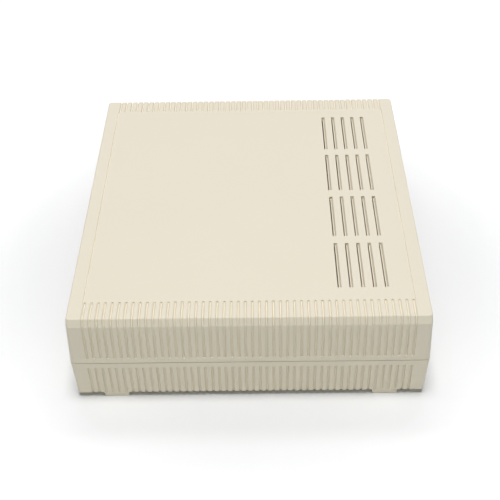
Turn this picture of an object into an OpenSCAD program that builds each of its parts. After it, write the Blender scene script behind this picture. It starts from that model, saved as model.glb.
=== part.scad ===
// Desktop instrument case: two moulded half shells with fluted sides, held by four screws from
// below, with a flat panel in slots at each open end.
// X runs from the front end to the rear end, Y across the fluted sides, Z up from the feet.

/* [Case] */
// Length between the two open ends, at the parting line
case_l = 183; // [160:1:260]
// Width across the fluted sides, at the parting line
case_w = 206; // [180:1:300]
// Height of the top cover above the parting line
top_h = 28.5; // [22:0.5:50]
// Height of the bottom cover below the parting line, without its feet
bottom_h = 23.3; // [18:0.1:45]
// Wall thickness of both covers
wall = 2.8; // [2.4:0.1:4]
// Draft of the top cover's outer faces, in degrees
top_draft = 2; // [0.5:0.5:4]
// Draft of the bottom cover's outer faces, in degrees
bottom_draft = 3; // [0.5:0.5:4]
// Radius of the upright corners at the parting line
corner_r = 3; // [2:0.5:6]
// Facet between the top face and each fluted side, measured across
facet_out = 2; // [1:0.5:3]
// Facet between the top face and each fluted side, measured down
facet_drop = 4; // [2:0.5:6]

/* [Flutes] */
// Spacing of the flutes
flute_pitch = 3.5; // [2.5:0.1:6]
// Width of a flute
flute_w = 1.2; // [0.8:0.1:2.2]
// Depth of a flute on the side
flute_d = 1; // [0.4:0.1:1.2]
// Depth of a flute on the top face
flute_top_d = 0.9; // [0.2:0.1:1]
// Plain band between each open end and the nearest flute, at the parting line
end_band = 8.3; // [6:0.1:20]
// Plain strip between the parting line and the flutes above it
top_strip_h = 3.1; // [3:0.1:8]
// Plain strip between the parting line and the flutes below it
bottom_strip_h = 3.6; // [3:0.1:8]
// Length of the flutes on the top face, from the edge of the facet
flute_run = 12; // [4:0.5:20]

/* [Vents and line grooves] */
// Width of a vent slot
vent_w = 2; // [1.8:0.1:3]
// Length of a vent slot
vent_l = 35; // [10:1:60]
// Depth of the step in a vent slot
vent_d = 1.6; // [0.6:0.1:2]
// Lean of the rear wall of the step
vent_lean = 0.8; // [0:0.1:0.8]
// Width of the slit through the wall along the front edge of a vent slot
slit_w = 0.8; // [0.4:0.1:0.9]
// Spacing of the slots in a row
vent_pitch = 6; // [4:0.5:8]
// Gap between two rows
vent_gap = 6; // [3:0.5:10]
// Slots in each row
vent_cols = 5; // [1:1:6]
// Least distance between the slots and the ends of the flutes
vent_margin = 8; // [4:0.5:30]
// Middle of the vent field, from the rear end at the parting line
vent_inset = 33.5; // [30:0.5:60]
// Width of the line groove over each panel
line_w = 0.6; // [0.3:0.1:1.5]
// Depth of the line groove over each panel
line_d = 0.5; // [0.2:0.1:1]

/* [End panels] */
// Thickness of a panel
panel_t = 2; // [1:0.5:3]
// Middle of a panel, from the open end at the parting line
panel_inset = 8.5; // [6:0.5:14]
// Gap on each face of a panel in its slot
panel_play = 0.1; // [0.05:0.05:0.3]
// Gap at the sides and the top edge of a panel
panel_gap = 0.2; // [0.1:0.1:0.5]
// Thickness of the fence on each side of a panel slot
fence_t = 1.6; // [1:0.1:2.5]
// Depth of the panel slots
fence_h = 3; // [2:0.5:5]

/* [Feet] */
// Length of a foot along the side
foot_l = 13.5; // [8:0.5:20]
// Width of a foot under the case
foot_w = 12; // [6:0.5:20]
// Height of a foot
foot_h = 2.7; // [1.5:0.1:6]
// Taper of each end of a foot over its height
foot_taper = 0.4; // [0:0.1:1]
// Middle of a foot, from the open end at the parting line
foot_inset = 21.5; // [16:0.5:30]

/* [Screws] */
// Middle of a screw, from the open end at the parting line
screw_inset_x = 37.5; // [36:0.5:60]
// Middle of a screw, from the fluted side at the parting line
screw_inset_y = 12; // [10:0.5:20]
// Thread diameter of a screw
screw_d = 3.5; // [2.5:0.1:4]
// Length of a screw under its head
screw_l = 20; // [14:1:24]
// Length of the screw's point
screw_tip_l = 2.5; // [1:0.5:4]
// Diameter of the flat end of the point
screw_tip_d = 0.8; // [0.4:0.1:1.5]
// Diameter of a screw head
head_d = 6.5; // [5.5:0.1:8]
// Height of a screw head
head_h = 2.4; // [1.5:0.1:3]
// Bevel around the outer face of a screw head
head_bevel = 0.6; // [0.2:0.1:1]
// Length of the cross recess in a screw head
recess_l = 3.8; // [2.5:0.1:4.5]
// Width of the cross recess
recess_w = 1; // [0.6:0.1:1.4]
// Depth of the cross recess
recess_d = 1.2; // [0.6:0.1:1.4]
// Thickness of the seat that a screw head bears on, below the parting line
seat_h = 9; // [5:0.5:10]
// Gap around a screw head in its counterbore
head_gap = 0.5; // [0.2:0.1:1]
// Gap around a screw in the bottom cover
shank_gap = 0.25; // [0.1:0.05:0.5]
// Gap around a screw in its boss
thread_gap = 0.05; // [0.02:0.01:0.1]
// Depth of a boss bore beyond the tip of its screw
bore_spare = 2; // [1:0.5:4]
// Wall around a counterbore and around a boss bore
boss_wall = 2; // [1.5:0.1:3]

/* [Board posts] */
// Spacing of the board posts along the case
post_span_x = 120; // [60:1:140]
// Spacing of the board posts across the case
post_span_y = 140; // [60:1:150]
// Diameter of a board post
post_d = 7; // [5:0.5:10]
// Height of a board post above the floor
post_h = 6; // [4:0.5:12]
// Diameter of the pilot bore in a board post
post_bore = 2.5; // [1.5:0.1:3]

/* [Joint lip] */
// Thickness of the locating lip on the bottom cover
lip_t = 1; // [0.8:0.1:1.2]
// Step between the inner face of the side wall and the lip
lip_step = 0.2; // [0.1:0.05:0.3]
// Height of the locating lip above the parting line
lip_h = 1.6; // [1:0.1:2.5]
// Gap around the lip in the top cover
lip_gap = 0.15; // [0.1:0.05:0.3]

/* [Hidden] */
$fn = 64;
shell_colour = "#ede4d3";
panel_colour = "#e4dac6";
screw_colour = "#b9bcc0";

// How far a cut runs past the face that it opens, and how deep a boss is rooted in its wall
over = 1;
// How far the corner rounds reach past the flat faces, so that they meet at a fine edge
corner_reach = 0.02;

z_floor = foot_h;
z_part = z_floor + bottom_h;
z_top = z_part + top_h;
end_x = case_l / 2;
side_y = case_w / 2;

facet_z = z_top - facet_drop;
facet_low_y = top_y(facet_z);
facet_high_y = facet_low_y - facet_out;
facet_angle = atan(facet_out / facet_drop);
run_y = facet_high_y - flute_run;

flute_count = 1 + floor((case_l - 2 * end_band - flute_w) / flute_pitch);
foot_x = end_x - foot_inset;

panel_x = end_x - panel_inset;
slot_half = panel_t / 2 + panel_play;
room_x = panel_x - slot_half - fence_t;
recess_x = panel_x + slot_half + fence_t;
recess_len = end_x + over - recess_x;

screw_x = end_x - screw_inset_x;
screw_y = side_y - screw_inset_y;
seat_z = z_part - seat_h;
counterbore_d = head_d + 2 * head_gap;
boss_bore_d = screw_d + 2 * thread_gap;
boss_bore_h = screw_l - seat_h + bore_spare;

vent_x = end_x - vent_inset;
vent_row_pitch = vent_l + vent_gap;
vent_rows = floor((2 * (run_y - vent_margin) + vent_gap) / vent_row_pitch);
lip_y = side_y - wall + lip_step;

// Half width of the top cover's outer face at height z
function top_y(z) = side_y - (z - z_part) * tan(top_draft);
// Half width of the bottom cover's outer face at height z
function bottom_y(z) = side_y - (z_part - z) * tan(bottom_draft);
// Unit normal at an angle
function normal(a) = [cos(a), sin(a)];
// Corner between two faces with normals at angles a and b, moved inwards so that both faces move by d
function inset_corner(p, a, b, d) = p - (normal(a) + normal(b)) * d / (1 + cos(a - b));
// Outline closed by its mirror image across the middle
function both_halves(half) = concat(half, [for (i = [len(half) - 1:-1:0]) [-half[i][0], half[i][1]]]);
// Middle of the flute with index i
function flute_x(i) = (i - (flute_count - 1) / 2) * flute_pitch;
// True for a flute that comes down on a foot
function above_foot(x) = abs(abs(x) - foot_x) < (foot_l + flute_w) / 2;

// Inner outline of the top cover, t inside its outer faces
function top_inside(t) = both_halves([
    [top_y(z_part - over) - t, z_part - over],
    [top_y(z_top - t) - t, z_top - t]
]);
// Inner outline of the bottom cover, t inside its outer faces
function bottom_inside(t) = both_halves([
    [bottom_y(z_floor + t) - t, z_floor + t],
    [bottom_y(z_part + over) - t, z_part + over]
]);

// A Y-Z outline extruded along X, centred
module along_x(l, outline) {
    rotate([90, 0, 90]) linear_extrude(l, center = true) polygon(outline);
}

// An X-Z outline extruded along Y, centred
module along_y(l, outline) {
    rotate([90, 0, 0]) linear_extrude(l, center = true) polygon(outline);
}

// Copies of the children on both sides of the middle plane across Y
module on_both_sides() {
    for (m = [0, 1]) mirror([0, m, 0]) children();
}

// Copies of the children in all four quarters
module in_all_quarters() {
    for (m = [0, 1]) mirror([m, 0, 0]) on_both_sides() children();
}

// Waste outside the rounded upright corners of a shell of height h that narrows away from z = 0
module corner_waste(h, draft) {
    r = corner_r + corner_reach;
    in_all_quarters() translate([end_x - corner_r, side_y - corner_r, -over]) difference() {
        cube([corner_r + over, corner_r + over, h + 2 * over]);
        cylinder(h = h + 2 * over, r1 = r + over * tan(draft), r2 = r - (h + over) * tan(draft));
    }
}

// Top cover's outer form: drafted ends and sides, a facet along each side, round upright corners
module top_block() {
    top_end_x = end_x - top_h * tan(top_draft);
    difference() {
        intersection() {
            along_x(case_l, both_halves([
                [side_y, z_part], [facet_low_y, facet_z], [facet_high_y, z_top]
            ]));
            along_y(case_w, both_halves([[end_x, z_part], [top_end_x, z_top]]));
        }
        translate([0, 0, z_part]) corner_waste(top_h, top_draft);
    }
}

// Bottom cover's outer form with its feet: drafted ends and sides, round upright corners
module bottom_block() {
    bottom_end_x = end_x - z_part * tan(bottom_draft);
    difference() {
        intersection() {
            along_x(case_l, both_halves([[bottom_y(0), 0], [side_y, z_part]]));
            along_y(case_w, both_halves([[bottom_end_x, 0], [end_x, z_part]]));
        }
        translate([0, 0, z_part]) mirror([0, 0, 1]) corner_waste(z_part, bottom_draft);
        underside_waste();
    }
}

// Room inside a cover, open at both ends: narrow through the fences, wide everywhere else
module hollow(wide, narrow) {
    along_x(case_l + 2 * over, narrow);
    along_x(2 * room_x, wide);
    for (s = [-1, 1]) {
        translate([s * panel_x, 0, 0]) along_x(2 * slot_half, wide);
        translate([s * (recess_x + recess_len / 2), 0, 0]) along_x(recess_len, wide);
    }
}

// Flutes up each side of the top cover, over the facet and on to the top face
module top_flutes() {
    low_z = z_part + top_strip_h;
    outline = [
        [top_y(low_z) - flute_d / cos(top_draft), low_z],
        inset_corner([facet_low_y, facet_z], top_draft, facet_angle, flute_d),
        inset_corner([facet_high_y, z_top], facet_angle, 90, flute_top_d),
        [run_y, z_top - flute_top_d],
        [run_y, z_top + over],
        [side_y + over, z_top + over],
        [side_y + over, low_z]
    ];
    on_both_sides() for (i = [0:flute_count - 1]) {
        translate([flute_x(i), 0, 0]) along_x(flute_w, outline);
    }
}

// Flutes down each side of the bottom cover, open at its lower edge or stopped on a foot
module bottom_flutes() {
    high_z = z_part - bottom_strip_h;
    inset = flute_d / cos(bottom_draft);
    on_both_sides() for (i = [0:flute_count - 1]) {
        low_z = above_foot(flute_x(i)) ? z_floor : z_floor - over;
        translate([flute_x(i), 0, 0]) along_x(flute_w, [
            [bottom_y(low_z) - inset, low_z],
            [side_y + over, low_z],
            [side_y + over, high_z],
            [bottom_y(high_z) - inset, high_z]
        ]);
    }
}

// One vent slot: a step with a leaning rear wall, and a slit through the wall along its front edge
module vent_slot() {
    front = -vent_w / 2;
    rear = vent_w / 2;
    step_z = z_top - vent_d;
    under_z = z_top - wall - over;
    along_y(vent_l, [
        [front, z_top + over],
        [front, under_z],
        [front + slit_w, under_z],
        [front + slit_w, step_z],
        [rear - vent_lean, step_z],
        [rear, z_top],
        [rear, z_top + over]
    ]);
}

// Field of vent slots near the rear end
module vents() {
    for (col = [0:vent_cols - 1], row = [0:vent_rows - 1]) {
        x = vent_x + (col - (vent_cols - 1) / 2) * vent_pitch;
        y = (row - (vent_rows - 1) / 2) * vent_row_pitch;
        translate([x, y, 0]) vent_slot();
    }
}

// Thin grooves across the top face over the two panels, between the ends of the flutes
module line_grooves() {
    for (s = [-1, 1]) {
        translate([s * panel_x - line_w / 2, -run_y, z_top - line_d]) {
            cube([line_w, 2 * run_y, line_d + over]);
        }
    }
}

// Form that a foot is left standing in when the underside is cut away
module foot_form() {
    inner_y = bottom_y(0) - foot_w;
    translate([foot_x, inner_y + case_w / 2, 0]) along_y(case_w, both_halves([
        [foot_l / 2 - foot_taper * (1 + over / foot_h), -over],
        [foot_l / 2, z_floor],
        [foot_l / 2, z_floor + over]
    ]));
}

// Waste between the feet, below the floor
module underside_waste() {
    difference() {
        translate([-end_x - over, -side_y - over, -over]) {
            cube([case_l + 2 * over, case_w + 2 * over, z_floor + over]);
        }
        in_all_quarters() foot_form();
    }
}

// Locating lip along the inner edge of one side wall
module lip() {
    along_x(2 * (room_x - lip_gap), [
        [lip_y, z_part - over],
        [lip_y + lip_t, z_part - over],
        [lip_y + lip_t, z_part + lip_h],
        [lip_y, z_part + lip_h]
    ]);
}

// Rebate in the top cover for the lip
module lip_rebate() {
    along_x(2 * room_x, [
        [lip_y - over, z_part - over],
        [lip_y + lip_t + lip_gap, z_part - over],
        [lip_y + lip_t + lip_gap, z_part + lip_h + lip_gap],
        [lip_y - over, z_part + lip_h + lip_gap]
    ]);
}

// Column in the bottom cover that carries a screw
module screw_column() {
    translate([screw_x, screw_y, z_floor + over]) {
        cylinder(d = counterbore_d + 2 * boss_wall, h = bottom_h - over);
    }
}

// Counterbore for a screw head from below, and the hole for its shank
module screw_passage() {
    translate([screw_x, screw_y, 0]) {
        translate([0, 0, z_floor - over]) cylinder(d = counterbore_d, h = seat_z - z_floor + over);
        translate([0, 0, seat_z - over]) cylinder(d = screw_d + 2 * shank_gap, h = seat_h + 2 * over);
    }
}

// Boss under the top wall that a screw threads into
module screw_boss() {
    translate([screw_x, screw_y, z_part]) {
        cylinder(d = boss_bore_d + 2 * boss_wall, h = top_h - wall + over);
    }
}

// Bore of a boss
module boss_bore() {
    translate([screw_x, screw_y, z_part - over]) cylinder(d = boss_bore_d, h = boss_bore_h + over);
}

// One post for a circuit board
module board_post() {
    translate([post_span_x / 2, post_span_y / 2, z_floor + over]) {
        cylinder(d = post_d, h = wall - over + post_h);
    }
}

// Pilot bore of a board post
module post_pilot() {
    translate([post_span_x / 2, post_span_y / 2, z_floor + wall]) {
        cylinder(d = post_bore, h = post_h + over);
    }
}

// Panel outline: it stands on the floor of its slot and is free at the sides and the top
module end_panel() {
    low_z = z_floor + wall;
    high_z = z_top - wall - panel_gap;
    inset = wall + panel_gap;
    along_x(panel_t, both_halves([
        [bottom_y(low_z) - inset, low_z],
        [side_y - inset, z_part],
        [top_y(high_z) - inset, high_z]
    ]));
}

// One self-tapping screw with its head below z = 0 and its point up
module cover_screw() {
    tip_z = screw_l - screw_tip_l;
    difference() {
        union() {
            translate([0, 0, -head_h]) cylinder(d1 = head_d - 2 * head_bevel, d2 = head_d, h = head_bevel);
            translate([0, 0, head_bevel - head_h]) cylinder(d = head_d, h = head_h - head_bevel);
            cylinder(d = screw_d, h = tip_z);
            translate([0, 0, tip_z]) cylinder(d1 = screw_d, d2 = screw_tip_d, h = screw_tip_l);
        }
        for (a = [0, 90]) rotate([0, 0, a]) translate([-recess_l / 2, -recess_w / 2, -head_h - over]) {
            cube([recess_l, recess_w, recess_d + over]);
        }
    }
}

module top_cover() {
    color(shell_colour) difference() {
        union() {
            difference() {
                top_block();
                hollow(top_inside(wall), top_inside(wall + fence_h));
            }
            in_all_quarters() screw_boss();
        }
        top_flutes();
        vents();
        line_grooves();
        on_both_sides() lip_rebate();
        in_all_quarters() boss_bore();
    }
}

module bottom_cover() {
    color(shell_colour) difference() {
        union() {
            difference() {
                bottom_block();
                hollow(bottom_inside(wall), bottom_inside(wall + fence_h));
            }
            on_both_sides() lip();
            in_all_quarters() {
                screw_column();
                board_post();
            }
        }
        bottom_flutes();
        in_all_quarters() {
            screw_passage();
            post_pilot();
        }
    }
}

module front_panel() {
    color(panel_colour) translate([-panel_x, 0, 0]) end_panel();
}

module rear_panel() {
    color(panel_colour) translate([panel_x, 0, 0]) end_panel();
}

module cover_screws() {
    color(screw_colour) in_all_quarters() translate([screw_x, screw_y, seat_z]) cover_screw();
}

top_cover();
bottom_cover();
front_panel();
rear_panel();
cover_screws();
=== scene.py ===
"""Dresses the desktop instrument case: two fluted covers, two end panels and four cover screws.

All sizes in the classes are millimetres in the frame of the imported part: X from the front end to the
rear end, Y across the fluted sides, Z up from the feet. Meshes are made in metres.
"""

import logging
import math
from dataclasses import dataclass, field
from enum import Enum
from typing import Callable, Sequence

import bmesh
import bpy
from bpy.types import Material, NodeOutputs, NodeSocket, NodeTree, Object
from mathutils import Matrix, Vector


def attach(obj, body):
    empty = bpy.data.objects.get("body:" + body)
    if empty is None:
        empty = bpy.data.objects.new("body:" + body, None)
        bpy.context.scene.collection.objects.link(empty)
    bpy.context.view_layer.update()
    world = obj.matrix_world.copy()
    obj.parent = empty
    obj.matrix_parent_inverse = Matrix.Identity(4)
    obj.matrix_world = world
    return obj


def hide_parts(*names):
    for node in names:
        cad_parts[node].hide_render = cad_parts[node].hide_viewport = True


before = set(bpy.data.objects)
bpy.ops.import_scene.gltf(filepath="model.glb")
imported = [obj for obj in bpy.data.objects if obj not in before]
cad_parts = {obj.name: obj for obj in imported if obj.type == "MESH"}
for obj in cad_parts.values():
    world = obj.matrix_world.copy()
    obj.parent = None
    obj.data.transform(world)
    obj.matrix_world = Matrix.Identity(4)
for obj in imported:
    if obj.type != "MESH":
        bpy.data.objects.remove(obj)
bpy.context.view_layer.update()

LOG = logging.getLogger("instrument_case")
MM = 0.001
# Half the angle, in radians, by which a corner has to bend before it is rounded
BEND = 1e-4
# Rise, in millimetres, up to which a step of a path counts as level
LEVEL = 1e-9
# Seams up to this many metres wide are closed
SEAM = 1e-8
# Height above a face, in millimetres, at which the rims of a cutter end
LIFT = 0.015
# Point that the lamps are aimed at, in metres
AIM = (0.0, 0.0, 0.03)
# Tint of the lamps that fill the shaded near side
FILL_TINT = (0.93, 1.0, 0.87)

Point2 = tuple[float, float]
Point3 = tuple[float, float, float]
Corner = tuple[float, float, float]
Colour = tuple[float, float, float]
Inputs = dict[int | str, object]
Fixed = tuple[tuple[str, float], ...]


class Cut(Enum):
    """What a cutter or a boss does to the moulding that it meets."""

    AWAY = "DIFFERENCE"
    ON = "UNION"


class End(Enum):
    """The two open ends of the case, each with the side of the frame that it is on."""

    FRONT = -1
    REAR = 1


def linear(colour: Colour) -> tuple[float, float, float, float]:
    """Turns a colour as it is seen on a screen into the renderer's own values.

    Args:
        colour: Red, green and blue from 0 to 255.

    Returns:
        Red, green, blue and an opacity of 1, each from 0 to 1.
    """
    parts = [c / 255 for c in colour]
    lit = [c / 12.92 if c <= 0.04045 else ((c + 0.055) / 1.055) ** 2.4 for c in parts]
    return (*lit, 1.0)


def slope(degrees: float) -> float:
    """Gives how far a drafted face leans for each millimetre of height."""
    return math.tan(math.radians(degrees))


def arc(middle: Point2, radius: float, start: float, stop: float, steps: int) -> list[Point2]:
    """Gives points along an arc between two angles in degrees, one more than its straight pieces."""
    angles = [math.radians(start + (stop - start) * i / steps) for i in range(steps + 1)]
    return [(middle[0] + radius * math.cos(a), middle[1] + radius * math.sin(a)) for a in angles]


def rounded_path(corners: Sequence[Corner], steps: int = 4) -> list[Point2]:
    """Rounds the inner corners of an open path.

    Args:
        corners: The path's corners with the radius of each; the first and the last stay as they are.
        steps: Straight pieces in each round.

    Returns:
        The points of the rounded path.
    """
    path: list[Point2] = [corners[0][:2]]
    for before, here, after in zip(corners, corners[1:], corners[2:]):
        p = Vector(here[:2])
        back = (Vector(before[:2]) - p).normalized()
        on = (Vector(after[:2]) - p).normalized()
        half = back.angle(on) / 2
        if here[2] <= 0 or half > math.pi / 2 - BEND:
            path.append((p.x, p.y))
            continue
        middle = p + (back + on).normalized() * (here[2] / math.sin(half))
        first = p + back * (here[2] / math.tan(half)) - middle
        last = p + on * (here[2] / math.tan(half)) - middle
        turn = first.angle_signed(last)
        for i in range(steps + 1):
            path.append(tuple(middle + Matrix.Rotation(-turn * i / steps, 2) @ first))
    path.append(corners[-1][:2])
    return path


def at_height(path: Sequence[Point2], z: float) -> float:
    """Reads how far out a path lies at a height.

    Args:
        path: Points of distance and height, with the height never falling.
        z: The height.

    Returns:
        The distance where the path rises through that height, or that of the nearer end.
    """
    for (u0, v0), (u1, v1) in zip(path, path[1:]):
        if v0 <= z <= v1 and v1 - v0 > LEVEL:
            return u0 + (u1 - u0) * (z - v0) / (v1 - v0)
    return path[-1][0] if z > path[0][1] else path[0][0]


def mitre(a: float, b: float) -> Vector:
    """Gives how the corner of two faces, with normals at a and b degrees, moves if both move out by 1 mm."""
    first, second = (Vector((math.cos(t), math.sin(t))) for t in (math.radians(a), math.radians(b)))
    return (first + second) / (1 + first.dot(second))


def both_halves(half: list[Point2]) -> list[Point2]:
    """Closes an outline across one half of the case with its mirror image."""
    return half + [(-y, z) for y, z in reversed(half)]


def ring(radius: float, z: float, sides: int) -> list[Point3]:
    """Gives a level ring of points round the frame's upright axis."""
    turns = [2 * math.pi * i / sides for i in range(sides)]
    return [(radius * math.cos(a), radius * math.sin(a), z) for a in turns]


class Sketch:
    """Vertices and faces of one mesh, gathered in millimetres."""

    def __init__(self) -> None:
        """Starts an empty sketch."""
        self.points: list[Point3] = []
        self.faces: list[list[int]] = []

    def loft(self, rings: Sequence[Sequence[Point3]]) -> "Sketch":
        """Adds a closed solid through rings of equal length.

        Args:
            rings: The rings in order, each a closed loop of points.

        Returns:
            The sketch itself.
        """
        count, start = len(rings[0]), len(self.points)
        for loop in rings:
            self.points.extend(loop)
        for k in range(len(rings) - 1):
            low, high = start + k * count, start + (k + 1) * count
            for i in range(count):
                j = (i + 1) % count
                self.faces.append([low + i, low + j, high + j, high + i])
        self.faces.append(list(range(start + count - 1, start - 1, -1)))
        last = start + (len(rings) - 1) * count
        self.faces.append(list(range(last, last + count)))
        return self

    def turned(self, profile: Sequence[Point2], sides: int = 32) -> "Sketch":
        """Adds a solid turned round the frame's upright axis, from the radius and height of each ring."""
        return self.loft([ring(radius, z, sides) for radius, z in profile])

    def on_both_sides(self) -> "Sketch":
        """Adds the mirror image of everything so far on the other fluted side.

        Returns:
            The sketch itself.
        """
        count = len(self.points)
        self.points.extend([(x, -y, z) for x, y, z in self.points])
        self.faces.extend([[count + i for i in reversed(f)] for f in list(self.faces)])
        return self

    def as_object(self, name: str, finish: Material) -> Object:
        """Makes the mesh object, with every closed solid facing outwards.

        Args:
            name: Name of the object.
            finish: Its material.

        Returns:
            The object, linked to the scene.
        """
        mesh = bpy.data.meshes.new(name)
        mesh.from_pydata([Vector(p) * MM for p in self.points], [], self.faces)
        shape = bmesh.new()
        shape.from_mesh(mesh)
        bmesh.ops.recalc_face_normals(shape, faces=shape.faces)
        shape.to_mesh(mesh)
        shape.free()
        mesh.materials.append(finish)
        made = bpy.data.objects.new(name, mesh)
        bpy.context.scene.collection.objects.link(made)
        return made


def freeze(piece: Object) -> Object:
    """Turns a piece with modifiers into a plain mesh, in place.

    Args:
        piece: The object.

    Returns:
        The same object, with no modifiers.
    """
    bpy.context.view_layer.update()
    shaped = piece.evaluated_get(bpy.context.evaluated_depsgraph_get())
    mesh = bpy.data.meshes.new_from_object(shaped)
    mesh.name = piece.name
    old = piece.data
    piece.modifiers.clear()
    piece.data = mesh
    bpy.data.meshes.remove(old)
    return piece


def combine(piece: Object, other: Object, cut: Cut) -> None:
    """Joins another solid to a piece, or cuts it away, and removes the other one.

    Args:
        piece: The piece that stays.
        other: The cutter or the boss.
        cut: Whether the other solid is cut away or joined on.
    """
    step = piece.modifiers.new("combine", "BOOLEAN")
    step.operation, step.solver, step.object = cut.value, "MANIFOLD", other
    freeze(piece)
    mesh = other.data
    bpy.data.objects.remove(other)
    bpy.data.meshes.remove(mesh)


def soften(piece: Object, angle: float = 34.0) -> None:
    """Closes tiny seams and shades a moulding smooth, with its true edges sharp.

    Args:
        piece: The finished moulding.
        angle: Angle from which an edge stays sharp, in degrees.
    """
    shape = bmesh.new()
    shape.from_mesh(piece.data)
    bmesh.ops.remove_doubles(shape, verts=shape.verts, dist=SEAM)
    shape.to_mesh(piece.data)
    shape.free()
    piece.data.shade_smooth()
    piece.data.set_sharp_from_angle(angle=math.radians(angle))
    even = piece.modifiers.new("even shading", "WEIGHTED_NORMAL")
    even.keep_sharp, even.weight = True, 60
    freeze(piece)


def add_node(tree: NodeTree, kind: str, inputs: Inputs, **options: str) -> NodeOutputs:
    """Adds a node to a tree, or fills one that is there.

    Args:
        tree: The node tree.
        kind: Type of the new node, or name of the one that is there.
        inputs: What goes in, by the input's name or number: plain values, or sockets to link.
        options: The node's other settings.

    Returns:
        The node's outputs.
    """
    node = tree.nodes[kind] if kind in tree.nodes else tree.nodes.new(kind)
    for name, value in options.items():
        setattr(node, name, value)
    for key, value in inputs.items():
        if isinstance(value, NodeSocket):
            tree.links.new(value, node.inputs[key])
        else:
            node.inputs[key].default_value = value
    return node.outputs


def maths(tree: NodeTree, kind: str, *values: object) -> NodeSocket:
    """Adds a Math node and gives its result."""
    return add_node(tree, "ShaderNodeMath", dict(enumerate(values)), operation=kind)[0]


def blend(tree: NodeTree, factor: object, first: object, second: object, kind: str = "MIX") -> NodeSocket:
    """Adds a blend of two colours and gives its result."""
    colours = {"Factor": factor, "A": first, "B": second}
    return add_node(tree, "ShaderNodeMix", colours, data_type="RGBA", blend_type=kind)["Result"]


def noise(tree: NodeTree, size: float, detail: float, rough: float) -> NodeSocket:
    """Adds noise to a tree.

    Args:
        tree: The node tree.
        size: Size of its clouds, in millimetres.
        detail: Number of its finer layers.
        rough: Strength of the finer layers.

    Returns:
        The socket with its value.
    """
    given = {
        "Vector": add_node(tree, "ShaderNodeTexCoord", {})["Object"],
        "Scale": 1 / (size * MM), "Detail": detail, "Roughness": rough,
    }
    return add_node(tree, "ShaderNodeTexNoise", given)["Fac"]


class RepeatTree:
    """Geometry Nodes tree that repeats one shape in rows and columns across the case."""

    NAME = "repeat in rows and columns"

    @classmethod
    def tree(cls) -> NodeTree:
        """Gives the tree, made on first use.

        Returns:
            The node group, with its sizes as named inputs.
        """
        if cls.NAME in bpy.data.node_groups:
            return bpy.data.node_groups[cls.NAME]
        group = bpy.data.node_groups.new(cls.NAME, "GeometryNodeTree")
        sockets = {
            "Geometry": "Geometry", "Columns": "Int", "Rows": "Int", "Column pitch": "Float",
            "Row pitch": "Float", "Centre": "Vector", "Stop middle": "Float", "Stop reach": "Float",
            "Stopped ones": "Bool", "Finish": "Material",
        }
        for name, kind in sockets.items():
            group.interface.new_socket(name, in_out="INPUT", socket_type="NodeSocket" + kind)
        group.interface.new_socket("Geometry", in_out="OUTPUT", socket_type="NodeSocketGeometry")
        given = add_node(group, "NodeGroupInput", {})
        index = add_node(group, "GeometryNodeInputIndex", {})[0]
        column = maths(group, "MODULO", index, given["Columns"])
        full_rows = maths(group, "DIVIDE", maths(group, "ADD", index, 0.5), given["Columns"])
        row = maths(group, "FLOOR", full_rows)
        place = []
        for number, count, pitch in ((column, "Columns", "Column pitch"), (row, "Rows", "Row pitch")):
            middle = maths(group, "DIVIDE", maths(group, "SUBTRACT", given[count], 1.0), 2.0)
            place.append(maths(group, "MULTIPLY", maths(group, "SUBTRACT", number, middle), given[pitch]))
        field_place = add_node(group, "ShaderNodeCombineXYZ", dict(enumerate(place)))[0]
        spot = add_node(group, "ShaderNodeVectorMath", {0: field_place, 1: given["Centre"]})[0]
        total = maths(group, "MULTIPLY", given["Columns"], given["Rows"])
        points = add_node(group, "GeometryNodePoints", {"Count": total, "Position": spot})[0]
        where = add_node(group, "GeometryNodeInputPosition", {})[0]
        along = maths(group, "ABSOLUTE", add_node(group, "ShaderNodeSeparateXYZ", {0: where})[0])
        away = maths(group, "ABSOLUTE", maths(group, "SUBTRACT", along, given["Stop middle"]))
        limits = {0: away, 1: given["Stop reach"]}
        near = add_node(group, "FunctionNodeCompare", limits, data_type="FLOAT", operation="LESS_THAN")[0]
        wanted = {0: near, 1: given["Stopped ones"]}
        chosen = add_node(group, "FunctionNodeBooleanMath", wanted, operation="XNOR")[0]
        copies = {"Points": points, "Selection": chosen, "Instance": given["Geometry"]}
        spread = add_node(group, "GeometryNodeInstanceOnPoints", copies)[0]
        real = add_node(group, "GeometryNodeRealizeInstances", {0: spread})[0]
        dressed = {"Geometry": real, "Material": given["Finish"]}
        painted = add_node(group, "GeometryNodeSetMaterial", dressed)[0]
        add_node(group, "NodeGroupOutput", {"Geometry": painted})
        return group

    @classmethod
    def apply(
        cls, piece: Object, columns: int, rows: int, pitch: Point2, finish: Material,
        centre: Point2 = (0.0, 0.0), stop: Point2 = (0.0, -1.0), stopped: bool = False,
    ) -> Object:
        """Repeats a piece in rows and columns.

        Args:
            piece: The shape, modelled around the frame's origin.
            columns: Copies along the case.
            rows: Copies across the case.
            pitch: Spacing along and across the case, in millimetres.
            finish: Material of the copies.
            centre: Middle of the field, in millimetres.
            stop: Middle and half length of the stretches, at both ends, in which copies count as stopped.
            stopped: Whether only the stopped copies are made, or only the others.

        Returns:
            The piece, as a plain mesh of all copies.
        """
        step = piece.modifiers.new("repeat", "NODES")
        step.node_group = cls.tree()
        values = {
            "Columns": columns, "Rows": rows, "Column pitch": pitch[0] * MM, "Row pitch": pitch[1] * MM,
            "Centre": (centre[0] * MM, centre[1] * MM, 0.0), "Stop middle": stop[0] * MM,
            "Stop reach": stop[1] * MM, "Stopped ones": stopped, "Finish": finish,
        }
        for item in step.node_group.interface.items_tree:
            if item.item_type == "SOCKET" and item.in_out == "INPUT" and item.name in values:
                step[item.identifier] = values[item.name]
        return freeze(piece)


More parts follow.
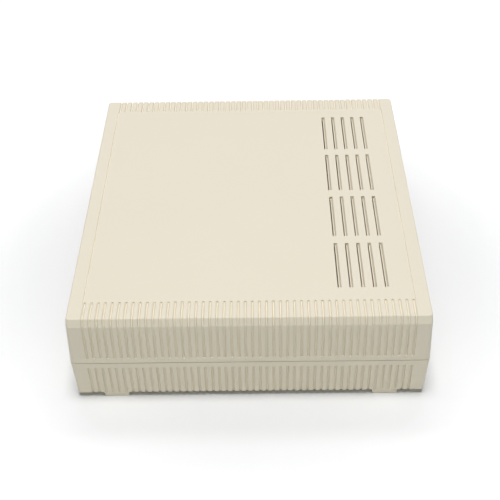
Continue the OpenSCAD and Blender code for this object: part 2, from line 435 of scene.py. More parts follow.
def quarters(name: str, profile: Sequence[Point2], spread: Point2, finish: Material) -> Object:
    """Makes four turned solids as one object, one in each quarter of the case at a distance both ways."""
    made = Sketch().turned(profile).as_object(name, finish)
    return RepeatTree.apply(made, 2, 2, (2 * spread[0], 2 * spread[1]), finish)


@dataclass(frozen=True)
class Finish:
    """A surface with slow clouds in its colour, patches in its sheen and a fine grain.

    Attributes:
        name: Name of the finish.
        colour: Main colour, as seen on a screen.
        drift: Colour that the clouds drift towards.
        roughness: Lowest and highest roughness of the patches.
        relief: Strength of the grain's bump, and its depth in millimetres.
        clouds: Noise of the clouds: its size in millimetres, detail and roughness.
        patches: Noise of the patches.
        grain: Noise of the grain.
        speck: Shade of the grain's marks.
        fixed: Names and values of the shader's other inputs.
    """

    name: str
    colour: Colour
    drift: Colour
    roughness: Point2
    relief: Point2
    clouds: Point3
    patches: Point3
    grain: Point3
    speck: Colour
    fixed: Fixed

    def material(self) -> Material:
        """Builds the node material.

        Returns:
            The material.
        """
        paint = bpy.data.materials.new(self.name)
        paint.use_nodes = True
        tree, (low, high), (strength, depth) = paint.node_tree, self.roughness, self.relief
        grain = noise(tree, *self.grain)
        tint = blend(tree, noise(tree, *self.clouds), linear(self.colour), linear(self.drift))
        sheen = {"Value": noise(tree, *self.patches), "To Min": low, "To Max": high}
        bump = {"Height": grain, "Strength": strength, "Distance": depth * MM}
        add_node(tree, "Principled BSDF", {
            "Base Color": blend(tree, grain, tint, (*self.speck, 1.0), "MULTIPLY"),
            "Roughness": add_node(tree, "ShaderNodeMapRange", sheen)["Result"],
            "Normal": add_node(tree, "ShaderNodeBump", bump)["Normal"],
            **dict(self.fixed),
        })
        return paint


@dataclass(frozen=True)
class MouldedPlastic(Finish):
    """Matt moulded plastic with a fine spark-eroded skin."""

    roughness: Point2 = (0.50, 0.66)
    relief: Point2 = (0.16, 0.05)
    clouds: Point3 = (55.0, 3.0, 0.55)
    patches: Point3 = (2.2, 4.0, 0.6)
    grain: Point3 = (0.32, 2.0, 0.6)
    speck: Colour = (0.955, 0.955, 0.95)
    fixed: Fixed = (("IOR", 1.50), ("Specular IOR Level", 0.42))


@dataclass(frozen=True)
class PlatedSteel(Finish):
    """Zinc-plated steel of small screws, with a faint bloom."""

    roughness: Point2 = (0.24, 0.44)
    relief: Point2 = (0.1, 0.02)
    clouds: Point3 = (0.8, 4.0, 0.5)
    patches: Point3 = (0.8, 4.0, 0.5)
    grain: Point3 = (0.8, 4.0, 0.5)
    speck: Colour = (1.0, 1.0, 1.0)
    fixed: Fixed = (("Metallic", 1.0),)


@dataclass(frozen=True)
class CaseSizes:
    """Sizes that the pieces of the case share."""

    end_x: float = 91.5
    side_y: float = 103.0
    floor_z: float = 2.7
    part_z: float = 26.0
    top_z: float = 54.5
    wall: float = 2.8
    top_draft: float = 2.0
    bottom_draft: float = 3.0
    corner_r: float = 3.0
    inner_r: float = 1.2
    part_line: float = 0.18
    part_step: float = 0.7
    part_slope: float = 0.05
    part_round: float = 0.2
    panel_x: float = 83.0
    panel_t: float = 2.0
    panel_play: float = 0.1
    panel_gap: float = 0.2
    fence_t: float = 1.6
    fence_h: float = 3.0
    flute_pitch: float = 3.5
    flute_w: float = 1.5
    flute_top_w: float = 1.6
    flute_root: float = 0.7
    flute_top_root: float = 0.2
    flute_d: float = 1.0
    flute_facet_d: float = 0.625
    flute_top_d: float = 0.95
    flute_count: int = 48
    top_strip_h: float = 3.1
    bottom_strip_h: float = 3.6
    flute_ease: float = 0.35
    flute_pinch: float = 0.72
    screw: Point2 = (54.0, 91.0)
    seat_z: float = 17.0
    lip_y: float = 100.4
    lip_t: float = 1.0
    lip_h: float = 1.6
    lip_gap: float = 0.15
    over: float = 1.0

    @property
    def room_x(self) -> float:
        """Gives the half length of the room between the fences of the panel slots."""
        return self.panel_x - (self.panel_t / 2 + self.panel_play) - self.fence_t

    def top_y(self, z: float) -> float:
        """Gives the half width of the top cover's outer face at a height."""
        return self.side_y - (z - self.part_z) * slope(self.top_draft)

    def bottom_y(self, z: float) -> float:
        """Gives the half width of the bottom cover's outer face at a height."""
        return self.side_y - (self.part_z - z) * slope(self.bottom_draft)

    def end_at(self, z: float) -> float:
        """Gives the half length of the covers' end faces at a height."""
        draft = self.top_draft if z > self.part_z else self.bottom_draft
        return self.end_x - abs(z - self.part_z) * slope(draft)

    def part_edge(self, half: float, way: int) -> list[Corner]:
        """Gives the corners of a cover's edge at the parting line, from the joint to the outer face.

        Args:
            half: Half width or half length of the cover at the parting line.
            way: 1 for the top cover, -1 for the bottom cover.

        Returns:
            The corners with the radius of each.
        """
        inner, line = half - self.part_step, self.part_z + way * self.part_line
        foot = (inner, line - way * self.part_slope, 0)
        return [(inner, self.part_z, 0), foot, (half, line, self.part_round)]


SIZES = CaseSizes()


def slot_section(corners: Sequence[Corner], shoulder: float = 0.35, proud: float = 0.5) -> list[Point2]:
    """Gives the section of a cutter whose shoulders lie just above the face on both sides of a slot.

    Args:
        corners: Corners of the slot with the radius of each, from rim to rim.
        shoulder: Width of each shoulder.
        proud: How far the cutter stands out of the face.

    Returns:
        The section's points, across the slot and out of the face.
    """
    side, lift = corners[-1][0] + shoulder, corners[-1][1]
    path = rounded_path([(-side, lift, 0), *corners, (side, lift, 0)])
    return [(-side, proud), *path, (side, proud)]


def groove_section(width: float, root: float, depth: float) -> list[Point2]:
    """Gives the section of a cutter for a groove with sloping flanks, soft rims and a soft root."""
    half, foot, rim, soft = width / 2, root / 2, 0.22, 0.12
    return slot_section([(-half, LIFT, rim), (-foot, -depth, soft), (foot, -depth, soft), (half, LIFT, rim)])


def upright_form(side: Sequence[Point2], end: Sequence[Point2]) -> list[list[Point3]]:
    """Stacks the level outlines of a drafted shell with round upright corners.

    Args:
        side: Half width and height along the side's profile.
        end: Half length and height along the end's profile.

    Returns:
        The outlines from bottom to top, all with as many points.
    """
    cx, cy = SIZES.end_x - SIZES.corner_r, SIZES.side_y - SIZES.corner_r
    heights = sorted({round(z, 5) for _, z in (*side, *end)})
    rings = []
    for z in heights:
        half_x, half_y = at_height(end, z), at_height(side, z)
        middle = (cx, min(cy, half_y - half_x + cx))
        quarter = [(x, min(y, half_y)) for x, y in arc(middle, half_x - cx, 0, 90, steps=8)]
        half = quarter + [(-x, y) for x, y in reversed(quarter)]
        rings.append([(x, y, z) for x, y in half] + [(-x, -y, z) for x, y in half])
    return rings


def room(section: Callable[[float], list[Point2]]) -> Sketch:
    """Makes the hollow through a cover: narrow at the fences of the panel slots, with soft mouths.

    Args:
        section: Gives the inner outline for a distance inside the outer faces.

    Returns:
        The sketch of the hollow.
    """
    wide, narrow, lead = SIZES.wall, SIZES.wall + SIZES.fence_h, 0.45
    slot = SIZES.panel_t / 2 + SIZES.panel_play
    low_x, high_x = SIZES.panel_x - slot, SIZES.panel_x + slot
    recess_x = high_x + SIZES.fence_t
    steps = [
        (SIZES.room_x, wide), (SIZES.room_x, narrow), (low_x, narrow), (low_x, wide),
        (high_x, wide), (high_x, narrow), (recess_x, narrow), (recess_x, wide),
    ]
    half = [[(x, y, z) for y, z in section(t)] for x, t in steps]
    for u, v in arc((0, 0), lead, 0, 80, steps=4):
        half.append([(SIZES.end_at(z) - lead + v, y, z) for y, z in section(wide - lead + u)])
    half.append([(SIZES.end_at(z) + SIZES.over, y, z) for y, z in section(wide - lead)])
    return Sketch().loft([[(-x, y, z) for x, y, z in loop] for loop in reversed(half)] + half)


@dataclass
class TopCover:
    """Upper moulding: fluted sides, facets, a field of vent slots and a line groove over each panel."""

    finish: Material
    facet_out: float = 2.0
    facet_drop: float = 4.0
    flute_run: float = 12.0
    vent_x: float = 58.0
    vent_w: float = 2.0
    vent_l: float = 35.0
    vent_d: float = 1.6
    vent_lean: float = 0.8
    slit_w: float = 0.8
    vent_pitch: Point2 = (6.0, 41.0)
    vent_cols: int = 5
    vent_rows: int = 4
    line_w: float = 0.6
    line_root: float = 0.25
    line_d: float = 0.5
    boss_r: float = 3.8
    bore_r: float = 1.8
    bore_h: float = 13.0
    side_round: float = 0.9
    facet_round: float = 0.7
    end_round: float = 0.9
    piece: Object = field(init=False)

    @property
    def facet_low(self) -> Point2:
        """Gives the lower corner of the facet."""
        z = SIZES.top_z - self.facet_drop
        return (SIZES.top_y(z), z)

    @property
    def facet_high(self) -> Point2:
        """Gives the upper corner of the facet."""
        return (self.facet_low[0] - self.facet_out, SIZES.top_z)

    @property
    def run_y(self) -> float:
        """Gives the place where the flutes end on the top face."""
        return self.facet_high[0] - self.flute_run

    def outer(self) -> Sketch:
        """Makes the outer form with its soft edges.

        Returns:
            The sketch of the solid form.
        """
        high, flat = SIZES.top_z, 3.0
        side = rounded_path([
            *SIZES.part_edge(SIZES.side_y, 1), (*self.facet_low, self.side_round),
            (*self.facet_high, self.facet_round), (self.facet_high[0] - flat, high, 0),
        ])
        end = rounded_path([
            *SIZES.part_edge(SIZES.end_x, 1), (SIZES.end_at(high), high, self.end_round),
            (SIZES.end_at(high) - flat, high, 0),
        ])
        return Sketch().loft(upright_form(side[:-1], end[:-1]))

    def inner_outline(self, inset: float) -> list[Point2]:
        """Gives the room's outline across the case.

        Args:
            inset: Distance inside the outer faces.

        Returns:
            The points round the room.
        """
        low, high = SIZES.part_z - SIZES.over, SIZES.top_z - inset
        return both_halves(rounded_path([
            (SIZES.top_y(low) - inset, low, 0), (SIZES.top_y(high) - inset, high, SIZES.inner_r),
            (0.0, high, 0),
        ])[:-1])

    def flutes(self) -> Object:
        """Makes the cutters for the flutes up the sides, over the facets and on to the top face.

        Returns:
            The cutters as one object.
        """
        deep = groove_section(SIZES.flute_w, SIZES.flute_root, SIZES.flute_d)
        middle = groove_section(SIZES.flute_w, SIZES.flute_root, SIZES.flute_facet_d)
        shallow = groove_section(SIZES.flute_top_w, SIZES.flute_top_root, SIZES.flute_top_d)
        low_z, ease, pinch = SIZES.part_z + SIZES.top_strip_h, SIZES.flute_ease, SIZES.flute_pinch
        lean, settle = 1 / math.cos(math.radians(SIZES.top_draft)), 4.0
        facet = math.degrees(math.atan2(self.facet_out, self.facet_drop))
        corners = (
            (self.facet_low, mitre(SIZES.top_draft, facet), middle),
            (self.facet_high, mitre(facet, 90), shallow),
        )
        rings = []
        for z, share in ((low_z, pinch), (low_z + ease, 1.0), (self.facet_low[1] - settle, 1.0)):
            rings.append([(u * share, SIZES.top_y(z) + v * lean, z) for u, v in deep])
        for corner, step, section in corners:
            rings.append([(u, corner[0] + step.x * v, corner[1] + step.y * v) for u, v in section])
        for y, share in ((self.run_y + ease, 1.0), (self.run_y, pinch)):
            rings.append([(u * share, y, SIZES.top_z + v) for u, v in shallow])
        cutter = Sketch().loft(rings).on_both_sides().as_object("top flutes", self.finish)
        return RepeatTree.apply(cutter, SIZES.flute_count, 1, (SIZES.flute_pitch, 0.0), self.finish)

    def across(self, name: str, section: Sequence[Point2], half: float) -> Object:
        """Makes a cutter that runs across the top face, as far to both sides of the middle."""
        rings = [[(u, y, SIZES.top_z + v) for u, v in section] for y in (-half, half)]
        return Sketch().loft(rings).as_object(name, self.finish)

    def vents(self) -> Object:
        """Makes the cutters for the vent slots: a step with a leaning rear wall, and a slit at its front.

        Returns:
            The cutters as one object.
        """
        rim, under, step = 0.1, -SIZES.wall - SIZES.over, -self.vent_d
        front, rear = -self.vent_w / 2, self.vent_w / 2
        slit = front + self.slit_w
        section = slot_section([
            (front, LIFT, rim), (front, under, 0), (slit, under, 0), (slit, step, rim),
            (rear - self.vent_lean, step, rim), (rear, LIFT, rim),
        ])
        cutter = self.across("vent slots", section, self.vent_l / 2)
        return RepeatTree.apply(
            cutter, self.vent_cols, self.vent_rows, self.vent_pitch, self.finish, (self.vent_x, 0.0)
        )

    def line_grooves(self) -> Object:
        """Makes the cutters for the line grooves over the two panels.

        Returns:
            The cutters as one object.
        """
        section = groove_section(self.line_w, self.line_root, self.line_d)
        cutter = self.across("line grooves", section, self.run_y)
        return RepeatTree.apply(cutter, 2, 1, (2 * SIZES.panel_x, 0.0), self.finish)

    def rebates(self) -> Object:
        """Makes the cutters for the rebates that take the bottom cover's lips.

        Returns:
            The cutters as one object.
        """
        half, near, far = SIZES.room_x, SIZES.lip_y - SIZES.over, SIZES.lip_y + SIZES.lip_t + SIZES.lip_gap
        levels = (SIZES.part_z - SIZES.over, SIZES.part_z + SIZES.lip_h + SIZES.lip_gap)
        outline = [(-half, near), (half, near), (half, far), (-half, far)]
        rebate = Sketch().loft([[(x, y, z) for x, y in outline] for z in levels])
        return rebate.on_both_sides().as_object("lip rebates", self.finish)

    def build(self) -> Object:
        """Moulds the cover.

        Returns:
            The finished piece.
        """
        low, sunk, lead, mouth = SIZES.part_z, 0.8, 0.3, 0.4
        boss_r, bore_r, high = self.boss_r, self.bore_r, SIZES.top_z - SIZES.wall + sunk
        boss = [(boss_r - lead, low), (boss_r, low + lead), (boss_r, high)]
        bore = [(bore_r + 2 * mouth, low - mouth), (bore_r, low + mouth), (bore_r, low + self.bore_h)]
        self.piece = self.outer().as_object("top_cover_moulding", self.finish)
        combine(self.piece, room(self.inner_outline).as_object("top room", self.finish), Cut.AWAY)
        combine(self.piece, quarters("screw bosses", boss, SIZES.screw, self.finish), Cut.ON)
        for cutter in (self.flutes, self.vents, self.line_grooves):
            combine(self.piece, cutter(), Cut.AWAY)
        combine(self.piece, quarters("boss bores", bore, SIZES.screw, self.finish), Cut.AWAY)
        combine(self.piece, self.rebates(), Cut.AWAY)
        soften(self.piece)
        return self.piece

    def dress(self) -> None:
        """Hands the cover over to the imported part."""
        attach(self.piece, "root")
        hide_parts("top_cover")


@dataclass
class BottomCover:
    """Lower moulding: fluted sides, four moulded feet, screw columns, board posts and locating lips."""

    finish: Material
    foot_x: float = 70.0
    foot_l: float = 13.5
    foot_w: float = 12.0
    foot_taper: float = 0.4
    fade_h: float = 3.0
    fade_d: float = 0.1
    column_r: float = 5.75
    counterbore_r: float = 3.75
    shank_r: float = 2.0
    post: Point2 = (60.0, 70.0)
    post_r: float = 3.5
    post_h: float = 6.0
    pilot_r: float = 1.25
    lower_round: float = 0.6
    piece: Object = field(init=False)

    def outer(self) -> Sketch:
        """Makes the outer form with its soft edges.

        Returns:
            The sketch of the solid form.
        """
        low, flat = SIZES.floor_z, 3.0
        paths = []
        for half, edge in ((SIZES.bottom_y(low), SIZES.side_y), (SIZES.end_at(low), SIZES.end_x)):
            rise = [(half - flat, low, 0), (half, low, self.lower_round)]
            paths.append(rounded_path(rise + SIZES.part_edge(edge, -1)[::-1])[1:])
        return Sketch().loft(upright_form(*paths))

    def inner_outline(self, inset: float) -> list[Point2]:
        """Gives the room's outline across the case.

        Args:
            inset: Distance inside the outer faces.

        Returns:
            The points round the room.
        """
        low, high = SIZES.floor_z + inset, SIZES.part_z + SIZES.over
        return both_halves(rounded_path([
            (0.0, low, 0), (SIZES.bottom_y(low) - inset, low, SIZES.inner_r),
            (SIZES.bottom_y(high) - inset, high, 0),
        ])[1:])

    def flutes(self, stopped: bool) -> Object:
        """Makes the cutters for the flutes down the sides.

        Args:
            stopped: Whether these are the ones that stop on a foot, or the ones that run out below.

        Returns:
            The cutters as one object.
        """
        deep = groove_section(SIZES.flute_w, SIZES.flute_root, SIZES.flute_d)
        faint = groove_section(SIZES.flute_w, SIZES.flute_root, self.fade_d)
        lean = 1 / math.cos(math.radians(SIZES.bottom_draft))
        high_z, low_z = SIZES.part_z - SIZES.bottom_strip_h, SIZES.floor_z
        stations = [(high_z, SIZES.flute_pinch, deep), (high_z - SIZES.flute_ease, 1.0, deep)]
        if stopped:
            stations += [(low_z + self.fade_h, 1.0, deep), (low_z, 1.0, faint)]
        else:
            stations.append((low_z - SIZES.over, 1.0, deep))
        rings = [
            [(u * share, SIZES.bottom_y(z) + v * lean, z) for u, v in section]
            for z, share, section in stations
        ]
        cutter = Sketch().loft(rings).on_both_sides().as_object("bottom flutes", self.finish)
        stop = (self.foot_x, (self.foot_l + SIZES.flute_w) / 2)
        return RepeatTree.apply(
            cutter, SIZES.flute_count, 1, (SIZES.flute_pitch, 0.0), self.finish, stop=stop, stopped=stopped
        )

    def feet(self) -> Object:
        """Makes the four moulded feet.

        Returns:
            The feet as one object.
        """
        rings, edge, sunk, root, r = [], 0.35, 0.05, 1.2, 0.6
        turns = (math.pi / 2, 1.05, 0.5, 0.0)
        levels = [(edge - edge * math.sin(a), edge - edge * math.cos(a)) for a in turns]
        levels.append((SIZES.floor_z + root, 0.0))
        inner_y = SIZES.bottom_y(0) - self.foot_w
        for z, inset in levels:
            taper = self.foot_taper * max(0.0, 1 - z / SIZES.floor_z)
            half = self.foot_l / 2 - taper - inset
            near, far = inner_y + inset, SIZES.bottom_y(z) - sunk - inset
            corners = ((half - r, far - r), (r - half, far - r), (r - half, near + r), (half - r, near + r))
            outline = []
            for i, corner in enumerate(corners):
                outline += arc(corner, r, 90 * i, 90 * i + 90, steps=4)
            rings.append([(x, y, z) for x, y in outline])
        made = Sketch().loft(rings).on_both_sides().as_object("moulded feet", self.finish)
        return RepeatTree.apply(made, 2, 1, (2 * self.foot_x, 0.0), self.finish)

    def lips(self) -> Object:
        """Makes the locating lips along the side walls.

        Returns:
            The lips as one object.
        """
        half, sunk, lead = SIZES.room_x - SIZES.lip_gap, 0.8, 0.25
        low, high = SIZES.part_z - sunk, SIZES.part_z + SIZES.lip_h
        near, far = SIZES.lip_y, SIZES.lip_y + SIZES.lip_t
        section = [
            (near, low), (far, low), (far, high - lead), (far - lead, high), (near + lead, high),
            (near, high - lead),
        ]
        lip = Sketch().loft([[(x, y, z) for y, z in section] for x in (-half, half)])
        return lip.on_both_sides().as_object("locating lips", self.finish)

    def build(self) -> Object:
        """Moulds the cover.

        Returns:
            The finished piece.
        """
        floor_z, inner_z, part_z = SIZES.floor_z, SIZES.floor_z + SIZES.wall, SIZES.part_z
        root, lead, mouth, below, through = floor_z + 0.9, 0.3, 0.4, 0.5, 0.7
        column_r, post_r, head_r, pilot_r = self.column_r, self.post_r, self.counterbore_r, self.pilot_r
        top, seat_z, finish = inner_z + self.post_h, SIZES.seat_z, self.finish
        column = [(column_r, root), (column_r, part_z - lead), (column_r - lead, part_z)]
        stud = [(post_r + mouth, root), (post_r, inner_z + 2 * mouth)]
        stud += [(post_r, top - lead), (post_r - lead, top)]
        head = [(head_r + mouth + below, floor_z - below), (head_r, floor_z + mouth), (head_r, seat_z)]
        shank = [(self.shank_r, seat_z - through), (self.shank_r, part_z + through)]
        pilot = [(pilot_r, inner_z), (pilot_r, top - mouth), (pilot_r + 2 * mouth, top + mouth)]
        self.piece = self.outer().as_object("bottom_cover_moulding", finish)
        combine(self.piece, room(self.inner_outline).as_object("bottom room", finish), Cut.AWAY)
        combine(self.piece, quarters("screw columns", column, SIZES.screw, finish), Cut.ON)
        combine(self.piece, quarters("board posts", stud, self.post, finish), Cut.ON)
        combine(self.piece, self.lips(), Cut.ON)
        combine(self.piece, self.feet(), Cut.ON)
        for stopped in (False, True):
            combine(self.piece, self.flutes(stopped), Cut.AWAY)
        combine(self.piece, quarters("counterbores", head, SIZES.screw, finish), Cut.AWAY)
        combine(self.piece, quarters("shank holes", shank, SIZES.screw, finish), Cut.AWAY)
        combine(self.piece, quarters("post pilots", pilot, self.post, finish), Cut.AWAY)
        soften(self.piece)
        return self.piece

    def dress(self) -> None:
        """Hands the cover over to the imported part."""
        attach(self.piece, "root")
        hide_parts("bottom_cover")


@dataclass
class EndPanel:
    """Flat panel in its slots at one open end, with a fine bevel round its edge."""

    finish: Material
    end: End
    bevel: float = 0.25
    corner: float = 1.6
    piece: Object = field(init=False)

    def outline(self, inset: float) -> list[Point2]:
        """Gives the panel's outline across the case.

        Args:
            inset: Distance inside the panel's edge.

        Returns:
            The outline with round corners.
        """
        gap = SIZES.wall + SIZES.panel_gap + inset
        low, high = SIZES.floor_z + SIZES.wall + inset, SIZES.top_z - SIZES.wall - SIZES.panel_gap - inset
        return both_halves(rounded_path([
            (0.0, low, 0), (SIZES.bottom_y(low) - gap, low, self.corner),
            (SIZES.side_y - gap, SIZES.part_z, 0), (SIZES.top_y(high) - gap, high, self.corner),
            (0.0, high, 0),
        ])[1:-1])

    def build(self) -> Object:
        """Makes the plate.

        Returns:
            The finished piece.
        """
        middle, half, soft = self.end.value * SIZES.panel_x, SIZES.panel_t / 2, 0.3 * self.bevel
        stations = [(-half, self.bevel), (soft - half, soft), (self.bevel - half, 0.0)]
        stations += [(-x, inset) for x, inset in reversed(stations)]
        plate = [[(middle + x, y, z) for y, z in self.outline(inset)] for x, inset in stations]
        self.piece = Sketch().loft(plate).as_object(f"{self.end.name.lower()}_panel_plate", self.finish)
        soften(self.piece)
        return self.piece

    def dress(self) -> None:
        """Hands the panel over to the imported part."""
        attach(self.piece, "root")
        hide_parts(f"{self.end.name.lower()}_panel")


@dataclass
class CoverScrews:
    """Four self-tapping screws that hold the covers together from below."""

    finish: Material
    length: float = 20.0
    thread_r: float = 1.75
    core_r: float = 1.25
    pitch: float = 1.3
    tip_l: float = 2.5
    tip_r: float = 0.4
    head_r: float = 3.25
    head_h: float = 2.4
    recess_l: float = 3.8
    recess_w: float = 1.0
    recess_d: float = 1.2
    dome: tuple[Point2, ...] = ((1.5, 0.0), (0.9, 0.06), (0.35, 0.35), (0.06, 0.8), (0.0, 1.3))
    rim: Point2 = (0.2, 0.25)
    piece: Object = field(init=False)

    def shaft(self) -> Sketch:
        """Makes the head and the threaded shank as one winding surface.

        Returns:
            The sketch, head down and point up, with its seat at zero height.
        """
        sides, per_turn, start, sharp = 24, 6, 0.5, 5.0
        r = self.head_r
        head = [(r - inset, rise - self.head_h) for inset, rise in self.dome]
        head += [(r, -self.rim[1]), (r - self.rim[0], 0.0), (self.thread_r, 0.0)]
        rings = [ring(radius, z, sides) for radius, z in head]
        for step in range(int((self.length - start) / self.pitch * per_turn) + 1):
            z = min(start + step * self.pitch / per_turn, self.length)
            shrink = min(1.0, (self.length - z) / self.tip_l)
            winding = []
            for i in range(sides):
                a = 2 * math.pi * i / sides
                wave = (z / self.pitch - a / (2 * math.pi)) % 1.0
                crest = max(0.0, 1 - abs(wave - 0.5) * sharp)
                full = self.core_r + (self.thread_r - self.core_r) * crest
                radius = self.tip_r + (full - self.tip_r) * shrink
                winding.append((radius * math.cos(a), radius * math.sin(a), z))
            rings.append(winding)
        return Sketch().loft(rings)

    def recess(self) -> Object:
        """Makes the cutter for the cross recess in the head.

        Returns:
            The cutter.
        """
        low, depth, rings = -self.head_h, self.recess_d, []
        below, flank, least, growth = 0.5, 0.75, 0.55, 0.45
        for z, share in ((low - below, 1.12), (low + depth * flank, 0.85), (low + depth, 0.35)):
            a, b = self.recess_l / 2 * share, self.recess_w / 2 * (least + growth * share)
            arm, outline = [(a, -b), (a, b), (b, b)], []
            for _ in range(4):
                outline += arm
                arm = [(-y, x) for x, y in arm]
            rings.append([(x, y, z) for x, y in outline])
        return Sketch().loft(rings).as_object("cross recess", self.finish)

    def build(self) -> Object:
        """Makes the four screws in their places.

        Returns:
            The finished piece.
        """
        self.piece = self.shaft().as_object("cover_screw_set", self.finish)
        combine(self.piece, self.recess(), Cut.AWAY)
        for vertex in self.piece.data.vertices:
            vertex.co.z += SIZES.seat_z * MM
        RepeatTree.apply(self.piece, 2, 2, (2 * SIZES.screw[0], 2 * SIZES.screw[1]), self.finish)
        soften(self.piece, angle=40.0)
        return self.piece

    def dress(self) -> None:
        """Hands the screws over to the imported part."""
        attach(self.piece, "root")
        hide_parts("cover_screws")


@dataclass(frozen=True)
class Lamp:
    """One softbox that faces the case, with its place and sides in metres and its power in watts."""

    name: str
    place: Point3
    sides: Point2
    power: float
    tint: Colour = (1.0, 1.0, 1.0)

    def hang(self) -> None:
        """Puts the lamp in the scene."""
        light = bpy.data.lights.new(self.name, "AREA")
        light.shape, light.energy, light.color = "RECTANGLE", self.power, self.tint
        light.size, light.size_y = self.sides
        hung = bpy.data.objects.new(self.name, light)
        hung.location, hung.visible_camera = self.place, False
        ahead = Vector(AIM) - Vector(self.place)
        hung.rotation_euler = ahead.to_track_quat("-Z", "Y").to_euler()
        bpy.context.scene.collection.objects.link(hung)


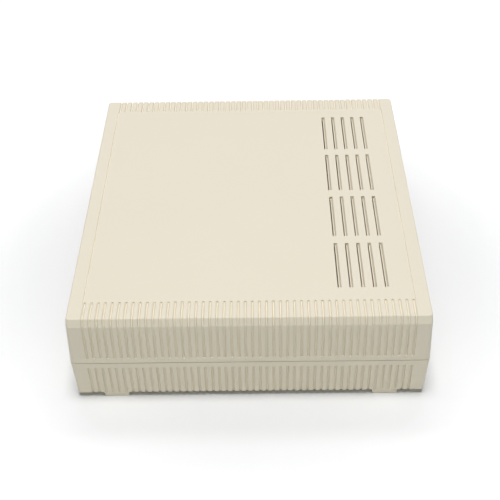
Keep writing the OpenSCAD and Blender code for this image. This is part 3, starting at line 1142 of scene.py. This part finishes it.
@dataclass
class Studio:
    """Pale floor, soft light and camera, with its place in millimetres and its focal length in pixels."""

    place: Point3 = (7.16, -455.3, 397.6)
    yaw: float = -0.0163
    pitch: float = 0.701
    roll: float = -0.0226
    focal: float = 1004.4
    image: int = 500
    sky: float = 0.01
    lamps: tuple[Lamp, ...] = (
        Lamp("overhead softbox", (0.0, -0.3, 4.0), (1.2, 1.2), 119.5),
        Lamp("high rear softbox", (0.0, 0.7, 1.5), (1.2, 0.3), 3.9),
        Lamp("rear softbox", (0.0, 1.2, 0.9), (2.4, 1.0), 2.2),
        Lamp("front softbox", (0.0, -0.5, 0.45), (0.2, 0.2), 0.33, FILL_TINT),
        Lamp("low front softbox", (0.0, -1.4, 0.2), (2.4, 0.35), 1.02, FILL_TINT),
    )
    floor_shade: float = 0.98
    # Painted shade: the floor as the camera sees it is darker and cooler near the case, and turns white
    # between the reach's two distances
    floor_near_painted_shade: Colour = (0.845, 0.85, 0.875)
    floor_far: Colour = (1.14, 1.15, 1.16)
    painted_shade_reach: Point2 = (0.1, 0.205)
    white_reach: Point2 = (0.3, 0.6)

    def camera(self) -> None:
        """Sets up the camera at the photograph's viewing angle."""
        level = math.cos(self.pitch)
        ahead = Vector((math.sin(self.yaw) * level, math.cos(self.yaw) * level, -math.sin(self.pitch)))
        right = Vector((math.cos(self.yaw), -math.sin(self.yaw), 0.0))
        up = right.cross(ahead)
        cos, sin = math.cos(self.roll), math.sin(self.roll)
        right, up = cos * right + sin * up, cos * up - sin * right
        lens = bpy.data.cameras.new("camera")
        lens.sensor_width, lens.clip_start = 36.0, 0.01
        lens.lens = lens.sensor_width * self.focal / self.image
        seen = bpy.data.objects.new("camera", lens)
        turn = Matrix((right, up, -ahead)).transposed().to_4x4()
        seen.matrix_world = Matrix.Translation(Vector(self.place) * MM) @ turn
        bpy.context.scene.collection.objects.link(seen)
        bpy.context.scene.camera = seen

    def shown_ray(self, tree: NodeTree) -> NodeSocket:
        """Adds nodes that are 1 for what the camera sees, straight or in a reflection or through glass.

        Args:
            tree: The node tree.

        Returns:
            The socket with the value.
        """
        path = add_node(tree, "ShaderNodeLightPath", {})
        total = path["Is Camera Ray"]
        for name in ("Is Glossy Ray", "Is Transmission Ray"):
            total = maths(tree, "MAXIMUM", total, path[name])
        return total

    def away(self, tree: NodeTree, reach: Point2) -> NodeSocket:
        """Adds nodes that rise from 0 to 1 with the distance from the middle of the case.

        Args:
            tree: The node tree.
            reach: Distances at which the rise begins and ends, in metres.

        Returns:
            The socket with the value.
        """
        where = add_node(tree, "ShaderNodeTexCoord", {})["Object"]
        distance = add_node(tree, "ShaderNodeVectorMath", {0: where}, operation="LENGTH")["Value"]
        rise = {"Value": distance, "From Min": reach[0], "From Max": reach[1]}
        return add_node(tree, "ShaderNodeMapRange", rise, interpolation_type="SMOOTHSTEP")["Result"]

    def floor_paint(self) -> Material:
        """Makes the floor's paint: it keeps the shadow, darkens the floor near the case with painted shade
        and looks plain white far away.

        Returns:
            The material.
        """
        paint = bpy.data.materials.new("pale floor")
        paint.use_nodes = True
        tree = paint.node_tree
        tree.nodes.clear()
        shown = self.shown_ray(tree)
        near, far = (*self.floor_near_painted_shade, 1.0), (*self.floor_far, 1.0)
        # Painted shade: the floor that the camera sees is darker near the case
        seen = blend(tree, self.away(tree, self.painted_shade_reach), near, far)
        shade = blend(tree, shown, (self.floor_shade,) * 3 + (1.0,), seen)
        matt = add_node(tree, "ShaderNodeBsdfDiffuse", {"Color": shade})[0]
        white = add_node(tree, "ShaderNodeEmission", {})[0]
        whiter = maths(tree, "MULTIPLY", self.away(tree, self.white_reach), shown)
        both = add_node(tree, "ShaderNodeMixShader", {0: whiter, 1: matt, 2: white})[0]
        add_node(tree, "ShaderNodeOutputMaterial", {"Surface": both})
        return paint

    def floor(self) -> None:
        """Lays a pale floor that keeps the case's shadow, with painted shade near the case."""
        mesh, half = bpy.data.meshes.new("studio floor"), 4.0
        corners = [(-half, -half, 0), (half, -half, 0), (half, half, 0), (-half, half, 0)]
        mesh.from_pydata(corners, [], [(0, 1, 2, 3)])
        mesh.materials.append(self.floor_paint())
        ground = bpy.data.objects.new("studio floor", mesh)
        bpy.context.scene.collection.objects.link(ground)

    def light(self) -> None:
        """Sets up the sky and the lamps."""
        sky = bpy.data.worlds.new("studio sky")
        sky.use_nodes = True
        bpy.context.scene.world = sky
        tree = sky.node_tree
        strength = {"Factor": self.shown_ray(tree), "A": self.sky, "B": 1.0}
        glow = add_node(tree, "ShaderNodeMix", strength)["Result"]
        add_node(tree, "Background", {"Color": (1, 1, 1, 1), "Strength": glow})
        for lamp in self.lamps:
            lamp.hang()

    def set_up(self) -> None:
        """Sets up the whole studio."""
        bpy.context.scene.view_settings.view_transform = "Standard"
        self.camera()
        self.floor()
        self.light()


def main() -> None:
    """Builds the case piece by piece, dresses it and lights it."""
    logging.basicConfig(level=logging.INFO, format="%(name)s: %(message)s")
    shell = MouldedPlastic("beige moulded plastic", (237, 228, 211), (233, 225, 206)).material()
    plate = MouldedPlastic(
        "beige panel plastic", (229, 220, 201), (224, 215, 195),
        roughness=(0.42, 0.56), relief=(0.10, 0.05), grain=(0.22, 2.0, 0.6),
    ).material()
    zinc = PlatedSteel("zinc-plated steel", (196, 197, 196), (176, 172, 158)).material()
    Studio().set_up()
    for part in (
        TopCover(shell), BottomCover(shell), EndPanel(plate, End.FRONT), EndPanel(plate, End.REAR),
        CoverScrews(zinc),
    ):
        piece = part.build()
        part.dress()
        LOG.info("%s: %d faces", piece.name, len(piece.data.polygons))


if __name__ == "__main__":
    main()
